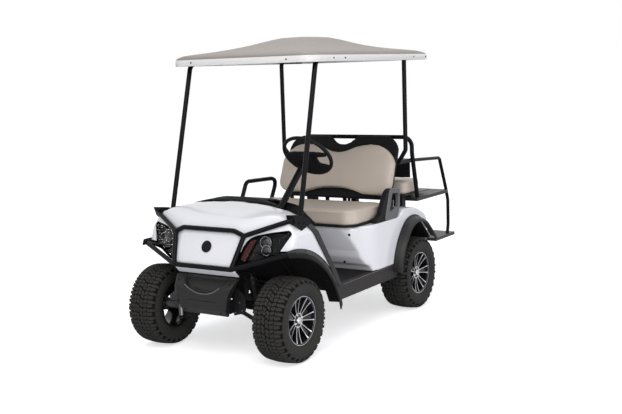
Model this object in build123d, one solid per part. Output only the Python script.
from build123d import *
import math
import os

# A lifted petrol golf cart with two rows of seats, built as separate solids.
# x is the cart's left, z is up from the ground, and a station y runs back from the front axle.
# save() moves the origin to the ground under the middle of the whole length.

# ---------------------------------------------------------------- driving dimensions, millimetres
WHEELBASE = 1650
TYRE_RADIUS = 280
TYRE_WIDTH = 240
TYRE_WALL = 14
RIM_RADIUS = 152
RIM_WIDTH = 200
RIM_WALL = 7
RIM_LIP = 8
FRONT_WHEEL_X = 523
REAR_WHEEL_X = 540
SPOKES = 14
HUB_RADIUS = 44
SPINDLE_RADIUS = 12.5
FIT = 0.05
SEAM = 0.3

KINGPIN_X = 383
KINGPIN_RADIUS = 10
KNUCKLE_RADIUS = 20
STEER_ARM = 130
TIE_ROD_RADIUS = 8
TIE_ROD_Z = 290
EAR = 15
EAR_TOP_Z = 365
EAR_BOTTOM_Z = 195

RAIL_INNER_X = 140
RAIL_WIDTH = 50
RAIL_BOTTOM_Z = 320
RAIL_TOP_Z = 395
RAIL_FRONT_Y = -190
RAIL_REAR_Y = 2080
CROSS_WIDTH = 50
AXLE_RADIUS = 32
SPRING_X = 330
SPRING_WIDTH = 45
SPRING_THICK = 24
SPRING_HALF = 250

HALF_WIDTH = 600
BODY_WALL = 5
FLARE_OUT = 62
FLARE_LIP = 26
LINER_INNER_X = 262
FLOOR_Z = 395
FLOOR_THICK = 14
FLOOR_FRONT_Y = 470
SILL_INNER_X = HALF_WIDTH - 60
FLOOR_HALF = SILL_INNER_X
TUB_FRONT_Y = 1000
TUB_BOTTOM_Z = 409
TUB_TOP_Z = 750
TUB_REAR_Y = 1990
INNER_WING_X = HALF_WIDTH - 110
INNER_WELL_X = 405

TUBE_RADIUS = 17
RAIL_TUBE_RADIUS = 14
ROOF_Z = 1925
ROOF_BAND = 45
ROOF_HALF = HALF_WIDTH
FRONT_STRUT_X = ROOF_HALF - 69
REAR_STRUT_X = ROOF_HALF - 38
ROOF_FRONT_Y = 250
ROOF_REAR_Y = 2000
ROOF_WALL = 8

STEER_RISE = 42
WHEEL_CENTRE = (300, 624, 1281)
STEER_RIM_RADIUS = 178
STEER_RIM_THICK = 14
COLUMN_RADIUS = 23
SHAFT_RADIUS = 10

SEAT_FRONT_Y = 800
SEAT_REAR_Y = 1370
SEAT_HALF = HALF_WIDTH - 55
SEAT_BOTTOM_Z = TUB_TOP_Z + SEAM
SEAT_THICK = 128
SEAT_HINGE = (SEAT_REAR_Y + 6, 860)
BACK_FOOT_Y = SEAT_REAR_Y + 22
BACK_HALF = SEAT_HALF - 10
HINGE_X = 300
HINGE_PIN = 4
BACK_LEAN = 21
DECK_Z = 835
DECK_HALF = 515
REAR_SEAT_HALF = DECK_HALF - 35
HOOP_X = DECK_HALF - 10
RAIL_X = DECK_HALF - 25
DECK_FRONT_Y = 1880
DECK_REAR_Y = 2450
PLATE = 6
FOOTREST_Z = 450
FOOTREST_FRONT_Y = 2230
FOOTREST_REAR_Y = 2600

REAR_AXLE_Y = WHEELBASE
ORIGIN_Y = (FOOTREST_REAR_Y - TYRE_RADIUS) / 2

os.makedirs("parts", exist_ok=True)


# ---------------------------------------------------------------- helpers
def save(name, shape):
    """Write one sub-part, moved from stations to the saved frame."""
    solids = [Pos(0, -ORIGIN_Y, 0) * solid for solid in shape.solids()]
    export_step(solids[0] if len(solids) == 1 else Compound(solids), f"parts/{name}.step")


def block(x0, x1, y0, y1, z0, z1):
    """A box between two corners."""
    return Pos((x0 + x1) / 2, (y0 + y1) / 2, (z0 + z1) / 2) * Box(x1 - x0, y1 - y0, z1 - z0)


def other_side(shape):
    """The same piece on the cart's right."""
    return mirror(shape, about=Plane.YZ)


def both(shape):
    """A pair of like pieces, left and right, as one compound."""
    return Compound([*shape.solids(), *other_side(shape).solids()])


def rod(start, end, radius):
    """A round bar between two points."""
    line = Vector(*end) - Vector(*start)
    return extrude(Plane(origin=start, z_dir=line) * Circle(radius), line.length)


def bent_tube(points, radius, bend):
    """A round tube along straight runs that are joined by tangent arcs of one bend radius."""
    path = [Vector(*p) for p in points]
    edges = []
    start = path[0]
    for before, corner, after in zip(path, path[1:], path[2:]):
        inward = (before - corner).normalized()
        outward = (after - corner).normalized()
        half_turn = math.acos(max(-1.0, min(1.0, inward.dot(outward)))) / 2
        reach = bend / math.tan(half_turn)
        middle = corner + (inward + outward).normalized() * (bend / math.sin(half_turn) - bend)
        arc_start = corner + inward * reach
        arc_end = corner + outward * reach
        edges.append(Edge.make_line(start, arc_start))
        edges.append(Edge.make_three_point_arc(arc_start, middle, arc_end))
        start = arc_end
    edges.append(Edge.make_line(start, path[-1]))
    spine = Wire(edges)
    section = Plane(origin=path[0], z_dir=path[1] - path[0]) * Circle(radius)
    return sweep(section, path=spine)


def side_face(points):
    """A closed outline of straight runs, given as (station, height), as a face across x = 0."""
    return Plane.YZ * make_face(Polyline(*points, close=True))


def across(face, half_width):
    """Extrude an outline that lies across x = 0 to both sides."""
    return extrude(face, half_width, both=True)


def outline(points, lean_plane):
    """A closed outline of straight runs on any plane, as a face."""
    return lean_plane * make_face(Polyline(*points, close=True))


def round_corner(side, start, end):
    """The middle of the arc that leaves a side wall at start, along the wall, and reaches end."""
    run = end[1] - start[1]
    drop = abs(start[0] - end[0])
    radius = (drop * drop + run * run) / (2 * drop)
    turn = math.atan2(abs(run), radius - drop) / 2
    return (side * (abs(start[0]) - radius + radius * math.cos(turn)),
            start[1] + math.copysign(radius * math.sin(turn), run))


# ---------------------------------------------------------------- wheels
def tyre():
    """One tyre about the x axis at the origin: bulged walls, rounded shoulders, slightly crowned tread."""
    half = TYRE_WIDTH / 2
    bead = RIM_RADIUS + SEAM
    bead_x = RIM_WIDTH / 2 - RIM_WALL - SEAM
    lip_r = bead + RIM_LIP + 2
    shoulder_x = half - 34
    shoulder_r = TYRE_RADIUS - 6
    belly_r = (bead + TYRE_RADIUS) / 2
    with BuildSketch(Plane.XY) as section:
        with BuildLine():
            Polyline((-bead_x, lip_r), (-bead_x, bead), (bead_x, bead), (bead_x, lip_r))
            ThreePointArc((bead_x, lip_r), (half - 5, belly_r - 26), (half, belly_r))
            ThreePointArc((half, belly_r), (half - 8, shoulder_r - 22), (shoulder_x, shoulder_r))
            ThreePointArc((shoulder_x, shoulder_r), (0, TYRE_RADIUS), (-shoulder_x, shoulder_r))
            ThreePointArc((-shoulder_x, shoulder_r), (8 - half, shoulder_r - 22), (-half, belly_r))
            ThreePointArc((-half, belly_r), (5 - half, belly_r - 26), (-bead_x, lip_r))
        make_face()
    body = revolve(section.sketch, Axis.X)
    well = Rot(0, 90, 0) * Cylinder(TYRE_RADIUS - 3 * TYRE_WALL, 2 * bead_x - 2 * TYRE_WALL)
    return body - well


def rim():
    """One alloy wheel about the x axis at the origin, its face towards +x."""
    half = RIM_WIDTH / 2
    barrel = Cylinder(RIM_RADIUS, RIM_WIDTH) - Cylinder(RIM_RADIUS - RIM_WALL, RIM_WIDTH)
    lips = Pos(0, 0, half - RIM_WALL / 2) * Cylinder(RIM_RADIUS + RIM_LIP, RIM_WALL)
    lips += Pos(0, 0, RIM_WALL / 2 - half) * Cylinder(RIM_RADIUS + RIM_LIP, RIM_WALL)
    barrel += lips - Cylinder(RIM_RADIUS - RIM_WALL, RIM_WIDTH)
    face_z = half - 34
    face = Pos(0, 0, face_z) * Cylinder(RIM_RADIUS - RIM_WALL, 16)
    window = Pos(96, 0, face_z) * Box(76, 20, 20)
    for turn in range(SPOKES):
        face -= Rot(0, 0, 360 * turn / SPOKES) * window
    hub = Pos(0, 0, face_z - 30) * Cylinder(HUB_RADIUS, 76)
    cap = Pos(0, 0, face_z + 16) * Cylinder(HUB_RADIUS - 12, 20)
    bore = Pos(0, 0, face_z - 40) * Cylinder(SPINDLE_RADIUS + FIT, 80)
    return Rot(0, 90, 0) * (barrel + face + hub + cap - bore)


tyre_form = tyre()
rim_form = rim()
# name, station, track half-width, side
WHEELS = [
    ("front_left", 0, FRONT_WHEEL_X, 1),
    ("front_right", 0, FRONT_WHEEL_X, -1),
    ("rear_left", REAR_AXLE_Y, REAR_WHEEL_X, 1),
    ("rear_right", REAR_AXLE_Y, REAR_WHEEL_X, -1),
]
for name, station, track, side in WHEELS:
    place = Pos(side * track, station, TYRE_RADIUS)
    facing = Rot(0, 0, 0 if side > 0 else 180)
    save(f"tyre_{name}", place * facing * tyre_form)
    save(f"rim_{name}", place * facing * rim_form)

SPINDLE_END = RIM_WIDTH / 2 - 34 - 2


# ---------------------------------------------------------------- steering knuckles and tie rod
def knuckle():
    """The left front knuckle: kingpin, spindle and steering arm."""
    low = EAR_BOTTOM_Z + EAR + 1
    high = EAR_TOP_Z - EAR - 1
    body = Pos(KINGPIN_X, 0, (low + high) / 2) * Cylinder(KNUCKLE_RADIUS, high - low)
    pin_z = (EAR_BOTTOM_Z + EAR_TOP_Z) / 2
    body += Pos(KINGPIN_X, 0, pin_z) * Cylinder(KINGPIN_RADIUS, EAR_TOP_Z - EAR_BOTTOM_Z + 12)
    boss_end = FRONT_WHEEL_X - 14
    body += rod((KINGPIN_X, 0, TYRE_RADIUS), (boss_end, 0, TYRE_RADIUS), 26)
    body -= block(KINGPIN_X - 40, KINGPIN_X - KNUCKLE_RADIUS, -40, 40, 200, 360)
    body += rod((boss_end, 0, TYRE_RADIUS), (FRONT_WHEEL_X + SPINDLE_END, 0, TYRE_RADIUS), SPINDLE_RADIUS)
    arm_z = TIE_ROD_Z + TIE_ROD_RADIUS + 2
    body += block(KINGPIN_X - 9, KINGPIN_X + 9, 0, STEER_ARM, arm_z, arm_z + 12)
    body += Pos(KINGPIN_X, STEER_ARM, arm_z + 6) * Cylinder(12, 12)
    body += Pos(KINGPIN_X, STEER_ARM, arm_z - 8) * Cylinder(6, 22)
    return body


left_knuckle = knuckle()
save("knuckle_left", left_knuckle)
save("knuckle_right", other_side(left_knuckle))

tie_rod = rod((-KINGPIN_X, STEER_ARM, TIE_ROD_Z), (KINGPIN_X, STEER_ARM, TIE_ROD_Z), TIE_ROD_RADIUS)
for side, clearance in ((1, FIT), (-1, 6 * FIT)):
    end = Pos(side * KINGPIN_X, STEER_ARM, TIE_ROD_Z)
    tie_rod += end * Cylinder(12, 2 * TIE_ROD_RADIUS + 2)
    tie_rod -= end * Cylinder(6 + clearance, 4 * TIE_ROD_RADIUS)
save("tie_rod", tie_rod)


# ---------------------------------------------------------------- chassis
rail_outer = RAIL_INNER_X + RAIL_WIDTH
rails = both(block(RAIL_INNER_X, rail_outer, RAIL_FRONT_Y, RAIL_REAR_Y, RAIL_BOTTOM_Z, RAIL_TOP_Z))
frame = Part() + rails
# stations of the cross members between the rails
for station in (RAIL_FRONT_Y + CROSS_WIDTH / 2, 420, 720, 1050, 1800, RAIL_REAR_Y - CROSS_WIDTH / 2):
    frame += block(-RAIL_INNER_X, RAIL_INNER_X, station - CROSS_WIDTH / 2, station + CROSS_WIDTH / 2,
                   RAIL_BOTTOM_Z + 10, RAIL_TOP_Z - 10)
# stations of the outriggers that carry the floor's edges and the sills
for station in (560, 980, 1300):
    frame += both(block(rail_outer, SILL_INNER_X, station - 20, station + 20, FLOOR_Z - 45, FLOOR_Z))
SPRING_TOP_Z = 372
for station in (REAR_AXLE_Y - SPRING_HALF, REAR_AXLE_Y + SPRING_HALF):
    hanger_end = SPRING_X + SPRING_WIDTH / 2
    frame += both(block(rail_outer, hanger_end, station - 20, station + 20, SPRING_TOP_Z, RAIL_TOP_Z))
TOWER_Z = 580
frame += both(block(RAIL_INNER_X, rail_outer, REAR_AXLE_Y - 20, REAR_AXLE_Y + 20, RAIL_TOP_Z, TOWER_Z + 20))
frame += rod((-260, REAR_AXLE_Y, TOWER_Z), (260, REAR_AXLE_Y, TOWER_Z), 20)
save("frame_rails", frame)

# front suspension: a carrier with two ears round each kingpin, and arms to the rails
carrier_x = KINGPIN_X - 48
suspension = block(carrier_x, carrier_x + EAR, -25, 25, EAR_BOTTOM_Z, EAR_TOP_Z)
for ear_z in (EAR_BOTTOM_Z, EAR_TOP_Z - EAR):
    suspension += block(carrier_x, KINGPIN_X, -22, 22, ear_z, ear_z + EAR)
    suspension += Pos(KINGPIN_X, 0, ear_z + EAR / 2) * Cylinder(22, EAR)
ARM_RADIUS = 14
for station in (-66, 66):
    suspension += rod((carrier_x, station / 6, EAR_BOTTOM_Z + 20), (205, station, 304), ARM_RADIUS)
    suspension += rod((205, station, 304), (RAIL_INNER_X, station, 306), ARM_RADIUS)
suspension += block(rail_outer, carrier_x, -16, 16, EAR_TOP_Z - EAR - 10, EAR_TOP_Z)
suspension -= Pos(KINGPIN_X, 0, 280) * Cylinder(KINGPIN_RADIUS + FIT, 400)
suspension -= frame

# front coil springs over dampers, from the lower arms to brackets on the rails
SPRING_FOOT = (292, 0, 262)
SPRING_HEAD = (226, 0, 560)
spring = rod(SPRING_FOOT, SPRING_HEAD, 12)
spring += rod((284, 0, 298), (232, 0, 533), 30)
spring += block(RAIL_INNER_X, 250, -24, 24, 552, 566)
spring += block(RAIL_INNER_X, rail_outer, -24, 24, RAIL_TOP_Z, 552)
spring += block(262, 318, -18, 18, 236, 266)
spring = spring - suspension - frame
save("front_suspension", both(Compound([*suspension.solids(), *spring.solids()])))

# rear axle with its gear housing, brake drums and wheel spindles
axle_z = TYRE_RADIUS
axle = rod((-REAR_WHEEL_X + 108, REAR_AXLE_Y, axle_z), (REAR_WHEEL_X - 108, REAR_AXLE_Y, axle_z), AXLE_RADIUS)
axle += block(-105, 105, REAR_AXLE_Y - 105, REAR_AXLE_Y + 95, axle_z - 95, axle_z + 100)
for side in (-1, 1):
    drum_in = side * (REAR_WHEEL_X - 108)
    drum_out = side * (REAR_WHEEL_X - 62)
    axle += rod((drum_in, REAR_AXLE_Y, axle_z), (drum_out, REAR_AXLE_Y, axle_z), 92)
    axle += rod((drum_out, REAR_AXLE_Y, axle_z), (side * (REAR_WHEEL_X + SPINDLE_END), REAR_AXLE_Y, axle_z),
                SPINDLE_RADIUS)
    pad_x = side * SPRING_X
    pad_half = SPRING_WIDTH / 2
    axle += block(pad_x - pad_half, pad_x + pad_half, REAR_AXLE_Y - 30, REAR_AXLE_Y + 30, axle_z, axle_z + AXLE_RADIUS)
    axle += block(side * 235 - 24, side * 235 + 24, REAR_AXLE_Y - 24, REAR_AXLE_Y + 24, axle_z, axle_z + AXLE_RADIUS)
save("rear_axle", axle)

# leaf springs, bowed down to the axle pads
leaf_low = axle_z + AXLE_RADIUS
with BuildSketch(Plane.YZ) as leaf_side:
    with BuildLine():
        y0 = REAR_AXLE_Y - SPRING_HALF - 20
        y1 = REAR_AXLE_Y + SPRING_HALF + 20
        under = SPRING_TOP_Z - SPRING_THICK
        ThreePointArc((y0, under), (REAR_AXLE_Y, leaf_low), (y1, under))
        Line((y1, under), (y1, SPRING_TOP_Z))
        ThreePointArc((y1, SPRING_TOP_Z), (REAR_AXLE_Y, leaf_low + SPRING_THICK), (y0, SPRING_TOP_Z))
        Line((y0, SPRING_TOP_Z), (y0, under))
    make_face()
leaf = Pos(SPRING_X, 0, 0) * across(leaf_side.sketch, SPRING_WIDTH / 2)
leaf -= block(SPRING_X - 40, SPRING_X + 40, REAR_AXLE_Y - 30, REAR_AXLE_Y + 30, axle_z, leaf_low)
leaf -= frame

shock = rod((235, REAR_AXLE_Y, leaf_low), (235, REAR_AXLE_Y, TOWER_Z), 16)
shock += rod((235, REAR_AXLE_Y, leaf_low + 40), (235, REAR_AXLE_Y, TOWER_Z - 110), 24)
shock -= rod((-260, REAR_AXLE_Y, TOWER_Z), (260, REAR_AXLE_Y, TOWER_Z), 20)
shock -= block(200, 270, REAR_AXLE_Y - 30, REAR_AXLE_Y + 30, TOWER_Z, TOWER_Z + 60)
save("rear_suspension", both(Compound([*leaf.solids(), *shock.solids()])))

save("engine_block", block(-RAIL_INNER_X, RAIL_INNER_X, 1110, 1500, 290, 640))


# ---------------------------------------------------------------- front body
ARCH_CENTRE = (-61, 135)
ARCH_RADIUS = 603
ARCH_FRONT_Y = -110
LINER_RADIUS = 584
LIP_CENTRE = (-142, 136)
LIP_RADIUS = 586
FLARE_WALL = 6
# the sloped face that holds each headlamp: a point on it and its outward direction
LAMP_POINT = (278, -115, 825)
LAMP_NORMAL = (0.296, -0.881, 0.368)


def arch_disc(centre, radius):
    """A wheel opening's circle, seen from the side."""
    return Plane.YZ * Pos(*centre) * Circle(radius)


def lamp_side(inset):
    """All that lies in front of the left lamp's sloped face."""
    normal = Vector(*LAMP_NORMAL).normalized()
    return Plane(origin=Vector(*LAMP_POINT) - normal * inset, z_dir=normal) * Pos(0, 0, 400) * Box(1600, 1600, 800)


def cowl_block(inset):
    """The closed outer form of the front body; a form with an inset lies that much inside it."""
    half = HALF_WIDTH - inset
    lamp_x = HALF_WIDTH - 150 - inset
    corner_x = HALF_WIDTH - 65 - inset
    hood_x = HALF_WIDTH - 130 - inset
    with BuildSketch(Plane.YZ) as side:
        with BuildLine():
            Line((-158, 560), (-196, 600))
            ThreePointArc((-196, 600), (-204, 622), (-202, 645))
            Line((-202, 645), (-128, 836))
            ThreePointArc((-128, 836), (-92, 898), (-30, 940))
            ThreePointArc((-30, 940), (80, 982), (200, 1008))
            Polyline((200, 1008), (166, 905), (392, 638), (414, 562), (507, FLOOR_Z + 15), (430, 300), (-158, 300))
            Line((-158, 300), (-158, 560))
        make_face()
    with BuildSketch(Plane.XY) as plan:
        with BuildLine():
            ThreePointArc((-lamp_x, -180), (0, -208), (lamp_x, -180))
            ThreePointArc((lamp_x, -180), round_corner(1, (half, 0), (lamp_x, -180)), (half, 0))
            Polyline((half, 0), (half, 560), (-half, 560), (-half, 0))
            ThreePointArc((-half, 0), round_corner(-1, (half, 0), (lamp_x, -180)), (-lamp_x, -180))
        make_face()
    with BuildSketch(Plane.XZ) as front:
        with BuildLine():
            ThreePointArc((-hood_x, 958), (0, 1010), (hood_x, 958))
            ThreePointArc((hood_x, 958), (corner_x, 912), (half, 825))
            Polyline((half, 825), (half, 280), (-half, 280), (-half, 825))
            ThreePointArc((-half, 825), (-corner_x, 912), (-hood_x, 958))
        make_face()
    body = Pos(0, inset, -inset) * extrude(side.sketch, 2 * HALF_WIDTH, both=True)
    body &= Pos(0, inset, 0) * extrude(plan.sketch, 1200)
    body &= Pos(0, 0, -inset) * extrude(front.sketch, 900, both=True)
    return body - lamp_side(inset) - other_side(lamp_side(inset))


cowl_outer = cowl_block(0)
cowl_inner = cowl_block(BODY_WALL)
skin = cowl_outer - cowl_inner
# the open back, behind the flange that the dash and the floor close
back_zone = side_face([(210, 1020), (150, 895), (372, 628), (394, 552), (480, 300), (700, 300), (700, 1020)])
skin -= across(back_zone, HALF_WIDTH - BODY_WALL)
# the open underside and the rising lower edge in front of the wheels
front_cut = outline([(-700, 200), (700, 200), (700, 735), (590, 722), (272, 632), (250, 563),
                     (-250, 563), (-272, 632), (-590, 722), (-700, 735)], Plane.XZ)
skin -= extrude(front_cut, 400, both=True) & block(-700, 700, -400, 60, 0, 900)
skin -= block(-HALF_WIDTH + BODY_WALL, HALF_WIDTH - BODY_WALL, -150, 600, 200, 560)
arch_cut = across(arch_disc(ARCH_CENTRE, ARCH_RADIUS), 720)
skin -= arch_cut - block(-250, 250, -400, 700, 0, 1100)
skin -= block(-700, 700, 395, 700, 200, FLOOR_Z + 12)

# lamp outline in front view, as (x, height)
LAMP_OUTLINE = [(254, 670), (284, 646), (344, 662), (462, 704), (515, 722), (528, 753), (560, 813), (577, 841),
                (556, 865), (434, 849), (342, 829), (303, 805), (280, 762)]
lamp_prism = extrude(outline(LAMP_OUTLINE, Plane.XZ), 300, both=True) & block(0, 700, -300, 60, 500, 1000)
lamp = (cowl_outer - cowl_block(24)) & lamp_prism
skin -= both(lamp_prism)
save("front_cowl", skin.solids().sort_by(SortBy.VOLUME)[-1])
save("headlamps", both(lamp.solids().sort_by(SortBy.VOLUME)[-1]))

# flares over the front wheels, each with the liner of its wheel well
flare_x = HALF_WIDTH + FLARE_OUT
walls = []
for wall in (0, FLARE_WALL):
    root = Pos(HALF_WIDTH, 0, 0) * arch_disc(ARCH_CENTRE, ARCH_RADIUS + FLARE_WALL - wall)
    lip = Pos(flare_x, 0, 0) * arch_disc(LIP_CENTRE, LIP_RADIUS - wall)
    walls.append(loft([root, lip], ruled=True))
# the flare narrows to its front end
flare_plan = make_face(Polyline((HALF_WIDTH, ARCH_FRONT_Y), (HALF_WIDTH + 12, ARCH_FRONT_Y), (flare_x, 90),
                                (flare_x, 700), (HALF_WIDTH, 700), close=True))
flare = (walls[0] - walls[1]) & extrude(flare_plan, 900) & block(HALF_WIDTH, flare_x, ARCH_FRONT_Y, 700, 265, 900)
tail = arch_disc(ARCH_CENTRE, ARCH_RADIUS + FLARE_WALL) - arch_disc(ARCH_CENTRE, ARCH_RADIUS)
flare += Pos(HALF_WIDTH - 55, 0, 0) * extrude(tail, 55) & block(0, 700, 430, 700, 265, 600)
liner_face = arch_disc(ARCH_CENTRE, ARCH_RADIUS) - arch_disc(ARCH_CENTRE, LINER_RADIUS)
rim_band = Pos(HALF_WIDTH - 12, 0, 0) * extrude(liner_face, 12) & block(0, 700, ARCH_FRONT_Y, 445, 300, 900)
liner_face = arch_disc(ARCH_CENTRE, LINER_RADIUS + BODY_WALL) - arch_disc(ARCH_CENTRE, LINER_RADIUS)
liner = Pos(LINER_INNER_X, 0, 0) * extrude(liner_face, HALF_WIDTH - LINER_INNER_X)
liner &= block(0, 700, ARCH_FRONT_Y, 445, 428, 900)
liner += block(LINER_INNER_X, HALF_WIDTH, 440, 445, 355, 430)
wing = flare + rim_band + liner
wing -= cowl_outer - cowl_inner
wing -= lamp_prism & (cowl_outer - cowl_block(40))
save("front_flares", both(wing.solids().sort_by(SortBy.VOLUME)[-1]))

# impact cover in front of the rails, below the nose, with a shallow pocket in its upper half
with BuildSketch(Plane.YZ) as skid_side:
    with BuildLine():
        Polyline((RAIL_FRONT_Y, 302), (RAIL_FRONT_Y - 16, 302), (RAIL_FRONT_Y - 52, 345), (RAIL_FRONT_Y - 50, 487),
                 (RAIL_FRONT_Y + 12, 556), (RAIL_FRONT_Y + 40, 556), (RAIL_FRONT_Y + 40, 546), (RAIL_FRONT_Y, 480),
                 (RAIL_FRONT_Y, 302))
    make_face()
skid = across(skid_side.sketch, 252)
skid_front = outline([(-184, 302), (184, 302), (205, 420), (252, 556), (-252, 556), (-205, 420)], Plane.XZ)
skid &= extrude(skid_front, 400, both=True)
pocket = outline([(-150, 600), (150, 600), (150, 470), (95, 440), (-95, 440), (-150, 470)], Plane.XZ)
pocket_side = side_face([(RAIL_FRONT_Y - 110, 400), (RAIL_FRONT_Y - 39, 400), (RAIL_FRONT_Y - 39, 487),
                         (RAIL_FRONT_Y + 30, 570), (RAIL_FRONT_Y - 110, 600)])
skid -= extrude(pocket, 400, both=True) & across(pocket_side, 300)
save("skid_cover", skid - frame)

# brush guard: hoop in front of the nose, lower bars to the wheel openings, upper bars to the strut brackets
GUARD_RADIUS = 16
GUARD_LOW = (237, -223, 624)
GUARD_KNEE = (284, -133, 832)
GUARD_TOP = (211, -138, 862)
GUARD_SIDE = (HALF_WIDTH - 4, -84, 722)
GUARD_BRACKET = (HALF_WIDTH - 30, 16, 930)
guard = bent_tube([(-GUARD_SIDE[0], *GUARD_SIDE[1:]), (-GUARD_LOW[0], *GUARD_LOW[1:]), GUARD_LOW, GUARD_SIDE],
                  GUARD_RADIUS, 50)
guard += bent_tube([(-GUARD_KNEE[0], *GUARD_KNEE[1:]), (-GUARD_TOP[0], *GUARD_TOP[1:]), GUARD_TOP, GUARD_KNEE],
                   GUARD_RADIUS, 50)
for side in (-1, 1):
    low = (side * GUARD_LOW[0], *GUARD_LOW[1:])
    knee = (side * GUARD_KNEE[0], *GUARD_KNEE[1:])
    reach = (side * GUARD_BRACKET[0], *GUARD_BRACKET[1:])
    guard += rod(low, knee, GUARD_RADIUS)
    guard += Pos(*knee) * Sphere(GUARD_RADIUS)
    guard += rod(knee, reach, GUARD_RADIUS)
guard = guard - cowl_outer - skid - frame
save("brush_guard", guard.solids().sort_by(SortBy.VOLUME)[-1])

# ---------------------------------------------------------------- dash, floor and sills
DASH_HALF = HALF_WIDTH - 40
dash_side = side_face([(166, 985), (200, 1009), (235, 1030), (322, 1016), (350, 965), (322, 930), (268, 790),
                       (254, 790), (308, 940), (332, 966), (312, 1002), (238, 1016), (204, 990), (172, 970)])
with BuildSketch(Plane.XZ) as dash_front:
    with BuildLine():
        ThreePointArc((-DASH_HALF, 915), (0, 1030), (DASH_HALF, 915))
        Polyline((DASH_HALF, 915), (DASH_HALF, 870), (500, 850), (500, 780), (-500, 780), (-500, 850),
                 (-DASH_HALF, 870), (-DASH_HALF, 915))
    make_face()
dash = (across(dash_side, DASH_HALF) & extrude(dash_front.sketch, 600, both=True)) - cowl_outer
column_dir = Vector(0, math.cos(math.radians(STEER_RISE)), math.sin(math.radians(STEER_RISE)))
wheel_centre = Vector(*WHEEL_CENTRE)
column_top = wheel_centre - column_dir * 62
column_foot = wheel_centre - column_dir * 640
column = rod(column_foot, column_top, COLUMN_RADIUS)
dash = dash - column
save("dash_panel", dash.solids().sort_by(SortBy.VOLUME)[-1])

floor_side = side_face([(TUB_FRONT_Y - 2, FLOOR_Z), (FLOOR_FRONT_Y, FLOOR_Z), (430, 560), (268, 790), (282, 790),
                        (444, 562), (FLOOR_FRONT_Y + 10, FLOOR_Z + FLOOR_THICK),
                        (TUB_FRONT_Y - 2, FLOOR_Z + FLOOR_THICK)])
floor = across(floor_side, FLOOR_HALF) - column
floor += block(-FLOOR_HALF, FLOOR_HALF, TUB_FRONT_Y - 2, 1345, FLOOR_Z, FLOOR_Z + FLOOR_THICK)
floor -= block(-RAIL_INNER_X - 20, RAIL_INNER_X + 20, 1090, 1400, 380, 420)
save("floor_pan", floor)
turned = Plane(origin=wheel_centre, z_dir=column_dir, x_dir=(1, 0, 0))
save("steering_column", column - turned * Pos(0, 0, -97) * Cylinder(SHAFT_RADIUS + FIT, 74))

# brake and accelerator pedals on the toe board
pedals = []
# x of the pad's edges, its heights, arm height
for left, right, low, high, arm_z in ((226, 296, 545, 645, 600), (338, 392, 480, 620, 560)):
    middle = (left + right) / 2
    pedal = block(left, right, 470, 482, low, high) + block(middle - 6, middle + 6, 380, 472, arm_z, arm_z + 12)
    pedals.append((pedal - floor).solids().sort_by(SortBy.VOLUME)[-1])
save("pedals", Compound(pedals))

sill_side = side_face([(534, 303), (1345, 303), (1345, FLOOR_Z + 10), (494, FLOOR_Z + 10)])
sill = Pos((SILL_INNER_X + HALF_WIDTH) / 2, 0, 0) * across(sill_side, (HALF_WIDTH - SILL_INNER_X) / 2)
save("sills", both(sill - floor))

# ---------------------------------------------------------------- steering wheel
steer = turned * Torus(STEER_RIM_RADIUS, STEER_RIM_THICK)
steer += turned * Pos(0, 0, -24) * Cylinder(48, 40)
spoke = Pos(STEER_RIM_RADIUS / 2, 0, -12) * Box(STEER_RIM_RADIUS, 44, 10)
# spokes at the sides and two towards the driver
for turn in (0, 180, 235, 305):
    steer += turned * Rot(0, 0, turn) * spoke
steer += turned * Pos(0, 0, -85) * Cylinder(SHAFT_RADIUS, 90)
save("steering_wheel", steer)


# ---------------------------------------------------------------- rear body
REAR_ARCH = [(1311, 344), (1372, 525), (1487, 657), (1616, 696), (1760, 649), (1905, 513)]


def rear_arch(grow):
    """The rear wheel opening, seen from the side, made larger by grow."""
    p = REAR_ARCH
    with BuildSketch(Plane.YZ) as opening:
        with BuildLine():
            ThreePointArc(p[0], p[1], p[2])
            ThreePointArc(p[2], p[3], p[4])
            Polyline(p[4], p[5], (1905, 200), (1311, 200), p[0])
        make_face()
    if not grow:
        return opening.sketch
    centre = (REAR_AXLE_Y - 40, 200)
    scale_up = 1 + grow / 496
    return Plane.YZ * Pos(*centre) * scale(Pos(-centre[0], -centre[1]) * Plane.YZ.to_local_coords(opening.sketch),
                                           by=scale_up)


def tub_block(inset):
    """The closed outer form of the rear body; a form with an inset lies that much inside it."""
    half = HALF_WIDTH - inset
    front = TUB_FRONT_Y + inset
    with BuildSketch(Plane.YZ) as side:
        with BuildLine():
            Polyline((TUB_FRONT_Y + inset, TUB_BOTTOM_Z), (822 + inset, TUB_TOP_Z - inset),
                     (1400, TUB_TOP_Z - inset), (1480, 800 - inset))
            ThreePointArc((1480, 800 - inset), (1740, 768 - inset), (TUB_REAR_Y - inset, 560))
            Polyline((TUB_REAR_Y - inset, 560), (TUB_REAR_Y - inset, TUB_BOTTOM_Z), (front, TUB_BOTTOM_Z))
        make_face()
    nose = (HALF_WIDTH - 170 - inset, 830 + inset)
    tail = (HALF_WIDTH - 170 - inset, TUB_REAR_Y - inset)
    with BuildSketch(Plane.XY) as plan:
        with BuildLine():
            ThreePointArc((-nose[0], nose[1]), (0, 800 + inset), nose)
            ThreePointArc(nose, round_corner(1, (half, 1060), nose), (half, 1060))
            Line((half, 1060), (half, 1800))
            ThreePointArc((half, 1800), round_corner(1, (half, 1800), tail), tail)
            Line(tail, (-tail[0], tail[1]))
            ThreePointArc((-tail[0], tail[1]), round_corner(-1, (half, 1800), tail), (-half, 1800))
            Line((-half, 1800), (-half, 1060))
            ThreePointArc((-half, 1060), round_corner(-1, (half, 1060), nose), (-nose[0], nose[1]))
        make_face()
    body = extrude(side.sketch, 2 * HALF_WIDTH, both=True)
    body &= extrude(plan.sketch, 1200)
    return body


tub_outer = tub_block(0)
tub = tub_outer - tub_block(BODY_WALL)
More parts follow.
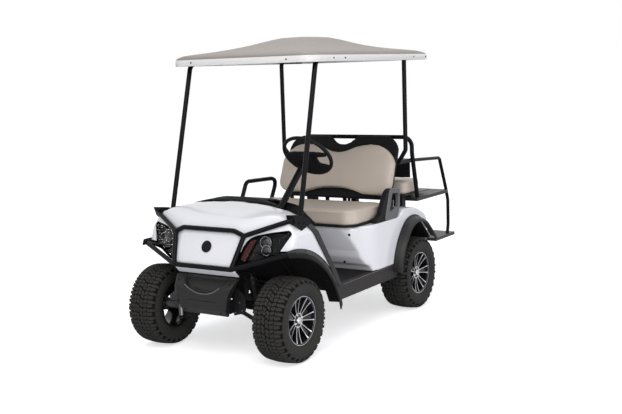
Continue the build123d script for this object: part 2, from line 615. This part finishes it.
# the flat engine cover behind the seat lies lower than the wings beside it
tub -= block(-INNER_WING_X, INNER_WING_X, 1400, 2100, TUB_TOP_Z, 900)
tub += block(-INNER_WING_X, INNER_WING_X, 1400, 1800, TUB_TOP_Z - BODY_WALL, TUB_TOP_Z) & tub_outer
tub += both(block(INNER_WING_X, INNER_WING_X + BODY_WALL, 1400, 1850, TUB_TOP_Z - BODY_WALL, 830) & tub_outer)
# the well under the seat, open at the top, and the open underside
tub -= block(-430, 430, 900, 1300, 700, 800)
tub -= across(rear_arch(4), 720) - block(-INNER_WELL_X, INNER_WELL_X, 1200, 2000, 0, 900)
tub -= block(-700, 700, 900, 2000, 300, TUB_BOTTOM_Z)
tub = tub.solids().sort_by(SortBy.VOLUME)[-1]
save("rear_body", tub)

rear_ring = rear_arch(FLARE_LIP) - rear_arch(0)
rear_liner = rear_arch(4) - rear_arch(0)
rear_wing = Pos(HALF_WIDTH, 0, 0) * extrude(rear_ring, FLARE_OUT + 8)
rear_wing += Pos(INNER_WELL_X, 0, 0) * extrude(rear_liner, HALF_WIDTH - INNER_WELL_X)
rear_wing &= block(0, 700, 1200, 1990, 330, 900)
rear_wing -= block(0, 700, 1900, 1990, 300, 505)
rear_wing -= both(sill)
save("rear_flares", both((rear_wing - tub).solids().sort_by(SortBy.VOLUME)[-1]))


# ---------------------------------------------------------------- front seat
def slab(width, depth, thick, corner, edge):
    """A soft block on the ground plane, its plan corners and its edges rounded."""
    body = extrude(RectangleRounded(width, depth, corner), thick)
    return fillet(body.faces().sort_by(Axis.Z)[-1].edges(), edge)


seat_depth = SEAT_REAR_Y - SEAT_FRONT_Y
seat_middle = (SEAT_FRONT_Y + SEAT_REAR_Y) / 2
cushion = Pos(0, seat_middle, SEAT_BOTTOM_Z) * slab(2 * SEAT_HALF, seat_depth, SEAT_THICK, 110, 40)
hinge_y, hinge_z = SEAT_HINGE
strap = rod((HINGE_X + 6, hinge_y, hinge_z), (HINGE_X + 32, hinge_y, hinge_z), HINGE_PIN + 4)
strap += block(HINGE_X + 6, HINGE_X + 32, hinge_y - 66, hinge_y, hinge_z - 40, hinge_z - 2)
cushion += strap + other_side(strap)
pin_way = rod((HINGE_X, hinge_y, hinge_z), (HINGE_X + 40, hinge_y, hinge_z), HINGE_PIN + FIT)
cushion -= pin_way + other_side(pin_way)
save("seat_cushion", cushion)
hinge = block(HINGE_X - 4, HINGE_X + 4, hinge_y - 4, hinge_y + 12, TUB_TOP_Z, hinge_z + 8)
hinge += rod((HINGE_X, hinge_y, hinge_z), (HINGE_X + 34, hinge_y, hinge_z), HINGE_PIN)
hinges = both(hinge)

# the backrest leans back about a line across the cart at the pad's lower edge
lean = Pos(0, BACK_FOOT_Y, 912) * Rot(-BACK_LEAN, 0, 0)
PAD_THICK = 70
SHELL_THICK = 25
with BuildSketch(Plane.XZ) as pad_front:
    with BuildLine():
        Line((95 - BACK_HALF, 0), (-270, 0))
        ThreePointArc((-270, 0), (0, 50), (270, 0))
        Line((270, 0), (BACK_HALF - 95, 0))
        ThreePointArc((BACK_HALF - 95, 0), (BACK_HALF - 23, 40), (BACK_HALF, 120))
        Line((BACK_HALF, 120), (BACK_HALF - 5, 240))
        ThreePointArc((BACK_HALF - 5, 240), (BACK_HALF - 63, 330), (BACK_HALF - 195, 406))
        ThreePointArc((BACK_HALF - 195, 406), (215, 402), (110, 372))
        ThreePointArc((110, 372), (0, 345), (-110, 372))
        ThreePointArc((-110, 372), (-215, 402), (195 - BACK_HALF, 406))
        ThreePointArc((195 - BACK_HALF, 406), (63 - BACK_HALF, 330), (5 - BACK_HALF, 240))
        Line((5 - BACK_HALF, 240), (-BACK_HALF, 120))
        ThreePointArc((-BACK_HALF, 120), (23 - BACK_HALF, 40), (95 - BACK_HALF, 0))
    make_face()
shell_half = BACK_HALF - 33
with BuildSketch(Plane.XZ) as shell_front:
    with BuildLine():
        Line((102 - shell_half, -18), (shell_half - 102, -18))
        ThreePointArc((shell_half - 102, -18), (shell_half - 22, 30), (shell_half, 120))
        Line((shell_half, 120), (shell_half, 340))
        ThreePointArc((shell_half, 340), (shell_half - 24, 432), (shell_half - 112, 490))
        Line((shell_half - 112, 490), (160, 490))
        ThreePointArc((160, 490), (120, 480), (85, 455))
        ThreePointArc((85, 455), (0, 420), (-85, 455))
        ThreePointArc((-85, 455), (-120, 480), (-160, 490))
        Line((-160, 490), (112 - shell_half, 490))
        ThreePointArc((112 - shell_half, 490), (24 - shell_half, 432), (-shell_half, 340))
        Line((-shell_half, 340), (-shell_half, 120))
        ThreePointArc((-shell_half, 120), (22 - shell_half, 30), (102 - shell_half, -18))
    make_face()
pad = lean * Pos(0, PAD_THICK, 0) * extrude(pad_front.sketch, PAD_THICK)
back_shell = lean * Pos(0, PAD_THICK + SHELL_THICK, 0) * extrude(shell_front.sketch, SHELL_THICK)
save("seat_back_pad", pad)

# flat bars that carry the backrest's lower edge from the engine cover
# x of the bars' middles
for middle in (-420, -80, 80, 420):
    back_shell += block(middle - 16, middle + 16, BACK_FOOT_Y + 80, BACK_FOOT_Y + 90, TUB_TOP_Z, 925) - pad


# ---------------------------------------------------------------- roof and its struts
STRUT_Z = ROOF_Z + ROOF_BAND - ROOF_WALL - TUBE_RADIUS - 2
front_strut = bent_tube([(HALF_WIDTH - 60, 130, 880), (FRONT_STRUT_X, 404, STRUT_Z), (FRONT_STRUT_X, 760, STRUT_Z)],
                        TUBE_RADIUS, 60)
bracket_side = side_face([(-8, 962), (17, 901), (83, 849), (198, 884), (182, 915), (90, 950)])
bracket = Pos(HALF_WIDTH - 42, 0, 0) * across(bracket_side, 28)
front_strut += bracket
front_strut = front_strut - cowl_outer - guard - dash
save("front_struts", both(front_strut.solids().sort_by(SortBy.VOLUME)[-1]))

# hoop behind the front backrest, its legs on the deck's front end
HOOP_Y = 1818
HOOP_TOP_Z = 1323
HOOP_KNEE_Z = 1200
HOOP_LEAN = 82
HOOP_BAR_Z = 1140
hoop = bent_tube([(-HOOP_X, HOOP_Y + HOOP_LEAN, DECK_Z), (-HOOP_X, HOOP_Y, HOOP_KNEE_Z),
                  (-HOOP_X, HOOP_Y, HOOP_TOP_Z), (HOOP_X, HOOP_Y, HOOP_TOP_Z), (HOOP_X, HOOP_Y, HOOP_KNEE_Z),
                  (HOOP_X, HOOP_Y + HOOP_LEAN, DECK_Z)], TUBE_RADIUS, 75)
hoop_bar_y = HOOP_Y + HOOP_LEAN * (HOOP_KNEE_Z - HOOP_BAR_Z) / (HOOP_KNEE_Z - DECK_Z)
hoop += rod((-HOOP_X, hoop_bar_y, HOOP_BAR_Z), (HOOP_X, hoop_bar_y, HOOP_BAR_Z), 13)
save("rear_hoop", hoop)

# the rear struts turn in behind the backrest and run back to the hoop
STRUT_BAR_Y = BACK_FOOT_Y + 220
rear_strut = bent_tube([(REAR_STRUT_X, 1890, STRUT_Z), (REAR_STRUT_X, 1600, STRUT_Z), (REAR_STRUT_X, 1600, 1240),
                        (RAIL_X, STRUT_BAR_Y, HOOP_BAR_Z), (RAIL_X, hoop_bar_y, HOOP_BAR_Z)], TUBE_RADIUS, 35)
rear_struts = rear_strut + other_side(rear_strut)
rear_struts += rod((-RAIL_X, STRUT_BAR_Y, HOOP_BAR_Z), (RAIL_X, STRUT_BAR_Y, HOOP_BAR_Z), 13)
for side in (-1, 1):
    middle = side * 330
    rear_struts += block(middle - 20, middle + 20, STRUT_BAR_Y - 112, STRUT_BAR_Y - 2,
                         HOOP_BAR_Z - 12, HOOP_BAR_Z + 12)
rear_struts -= hoop
rear_struts = rear_struts - back_shell - pad
save("rear_struts", rear_struts.solids().sort_by(SortBy.VOLUME)[-1])
save("seat_back_shell", Compound([*back_shell.solids(), *hinges.solids()]))

roof_length = ROOF_REAR_Y - ROOF_FRONT_Y
roof_middle = (ROOF_FRONT_Y + ROOF_REAR_Y) / 2


def roof_form(inset):
    """The roof panel's outer form: an upright band, a shallow slope and a raised middle."""
    band = Pos(0, roof_middle, ROOF_Z) * extrude(
        RectangleRounded(2 * (ROOF_HALF - inset), roof_length - 2 * inset, 110 - inset), ROOF_BAND - inset)
    # half-width, half-length, corner, height above the band's lower edge, shift to the rear
    rings = [(ROOF_HALF, roof_length / 2, 110, ROOF_BAND, 0), (560, 800, 110, 72, -40), (420, 620, 120, 95, -60),
             (260, 400, 120, 135, -40), (120, 180, 90, 190, -25)]
    faces = []
    for half, run, corner, height, shift in rings:
        face = RectangleRounded(2 * (half - inset), 2 * (run - inset), corner - inset)
        faces.append(Pos(0, roof_middle + shift, ROOF_Z + height - inset) * face)
    return band + loft(faces, ruled=True)


roof_outer = roof_form(0)
roof = roof_outer - roof_form(ROOF_WALL)
for x, front, rear in ((FRONT_STRUT_X, 400, 760), (REAR_STRUT_X, 1600, 1890)):
    rib = block(x - 16, x + 16, front, rear, STRUT_Z + TUBE_RADIUS, 2100)
    roof += (rib + other_side(rib)) & roof_outer
save("roof", roof)


# ---------------------------------------------------------------- hip restraints
LOOP_X = HALF_WIDTH - 22
far_loop = bent_tube([(-LOOP_X, 940, TUB_TOP_Z), (-LOOP_X, 1075, 1018), (-LOOP_X, 1500, 1003),
                      (-LOOP_X, 1360, TUB_TOP_Z)], 17, 50)
near_side = side_face([(1190, 740), (1282, 985), (1436, 974), (1432, 824), (1392, 740)])
near_hole = side_face([(1290, 835), (1322, 938), (1412, 932), (1406, 858)])
near_loop = Pos(HALF_WIDTH - 20, 0, 0) * across(near_side - near_hole, 15)
restraints = [far_loop - tub_outer, near_loop - tub_outer]
save("hip_restraints", Compound([r.solids().sort_by(SortBy.VOLUME)[-1] for r in restraints]))


# ---------------------------------------------------------------- rear seat, deck, rails and footrest
back_board = block(-REAR_SEAT_HALF, REAR_SEAT_HALF, HOOP_Y + 8, HOOP_Y + 20, 1000, 1132) - hoop - rear_struts
rear_pad = Pos(0, HOOP_Y + 20, 1060) * Rot(-90, 0, 0) * slab(2 * REAR_SEAT_HALF - 60, 130, 60, 40, 18)
save("rear_seat_back", back_board.solids().sort_by(SortBy.VOLUME)[-1] + rear_pad)

BOARD_Z = DECK_Z + 30
REAR_SEAT_FRONT_Y = HOOP_Y - 73
rear_cushion = Pos(0, REAR_SEAT_FRONT_Y + 150, BOARD_Z + PLATE) * slab(2 * REAR_SEAT_HALF, 300, 115, 50, 26)
save("rear_seat_cushion", rear_cushion)
board = block(-REAR_SEAT_HALF, REAR_SEAT_HALF, REAR_SEAT_FRONT_Y, DECK_REAR_Y - 260, BOARD_Z, BOARD_Z + PLATE)
# x of the bars between the deck and the seat board
for middle in (-300, 300):
    board += block(middle - 20, middle + 20, REAR_SEAT_FRONT_Y + 15, DECK_REAR_Y - 280, DECK_Z, BOARD_Z)
save("seat_board", board)

grab = bent_tube([(RAIL_X, hoop_bar_y + 3, HOOP_BAR_Z), (RAIL_X, DECK_REAR_Y - 105, 1112),
                  (RAIL_X, DECK_REAR_Y + 12, DECK_Z + 15), (RAIL_X, DECK_REAR_Y + 53, DECK_Z - 95),
                  (RAIL_X, DECK_REAR_Y + 53, DECK_Z - 305), (RAIL_X, DECK_REAR_Y + 35, FOOTREST_Z)],
                 RAIL_TUBE_RADIUS, 40)
grab -= hoop
grab = grab.solids().sort_by(SortBy.VOLUME)[-1]
save("grab_rails", both(grab))

deck = block(-DECK_HALF, DECK_HALF, DECK_FRONT_Y, DECK_REAR_Y, DECK_Z - 28, DECK_Z)
deck -= block(PLATE - DECK_HALF, DECK_HALF - PLATE, DECK_FRONT_Y + PLATE, DECK_REAR_Y - PLATE, 0, DECK_Z - PLATE)
deck = deck - both(grab) - hoop
save("cargo_deck", deck)

posts = []
for side in (-1, 1):
    x0 = side * 410
    posts.append(block(x0 - 40, x0 + 40, REAR_SEAT_FRONT_Y, REAR_SEAT_FRONT_Y + 55, TUB_TOP_Z, BOARD_Z) - tub)
rear_frame = both(block(RAIL_INNER_X, rail_outer, RAIL_REAR_Y - 50, RAIL_REAR_Y, RAIL_TOP_Z, DECK_Z - PLATE))
posts += rear_frame.solids()
save("deck_frame", Compound(posts))

step_half = DECK_HALF - 10
step = block(-step_half, step_half, FOOTREST_FRONT_Y, FOOTREST_REAR_Y, FOOTREST_Z - 26, FOOTREST_Z)
step -= block(PLATE - step_half, step_half - PLATE, FOOTREST_FRONT_Y + PLATE, FOOTREST_REAR_Y - PLATE, 0,
              FOOTREST_Z - PLATE)
arm = block(RAIL_INNER_X, rail_outer, RAIL_REAR_Y, FOOTREST_REAR_Y - 60, 360, RAIL_TOP_Z)
arm += block(RAIL_INNER_X, rail_outer, FOOTREST_FRONT_Y + 20, FOOTREST_FRONT_Y + 60, RAIL_TOP_Z, FOOTREST_Z - PLATE)
arm += block(RAIL_INNER_X, rail_outer, FOOTREST_REAR_Y - 100, FOOTREST_REAR_Y - 60, RAIL_TOP_Z, FOOTREST_Z - PLATE)
save("footrest", step + arm + other_side(arm) - both(grab))

tail = block(320, 425, 1900, 1998, 600, 690) - tub_outer
save("tail_lamps", both(tail.solids().sort_by(SortBy.VOLUME)[-1]))
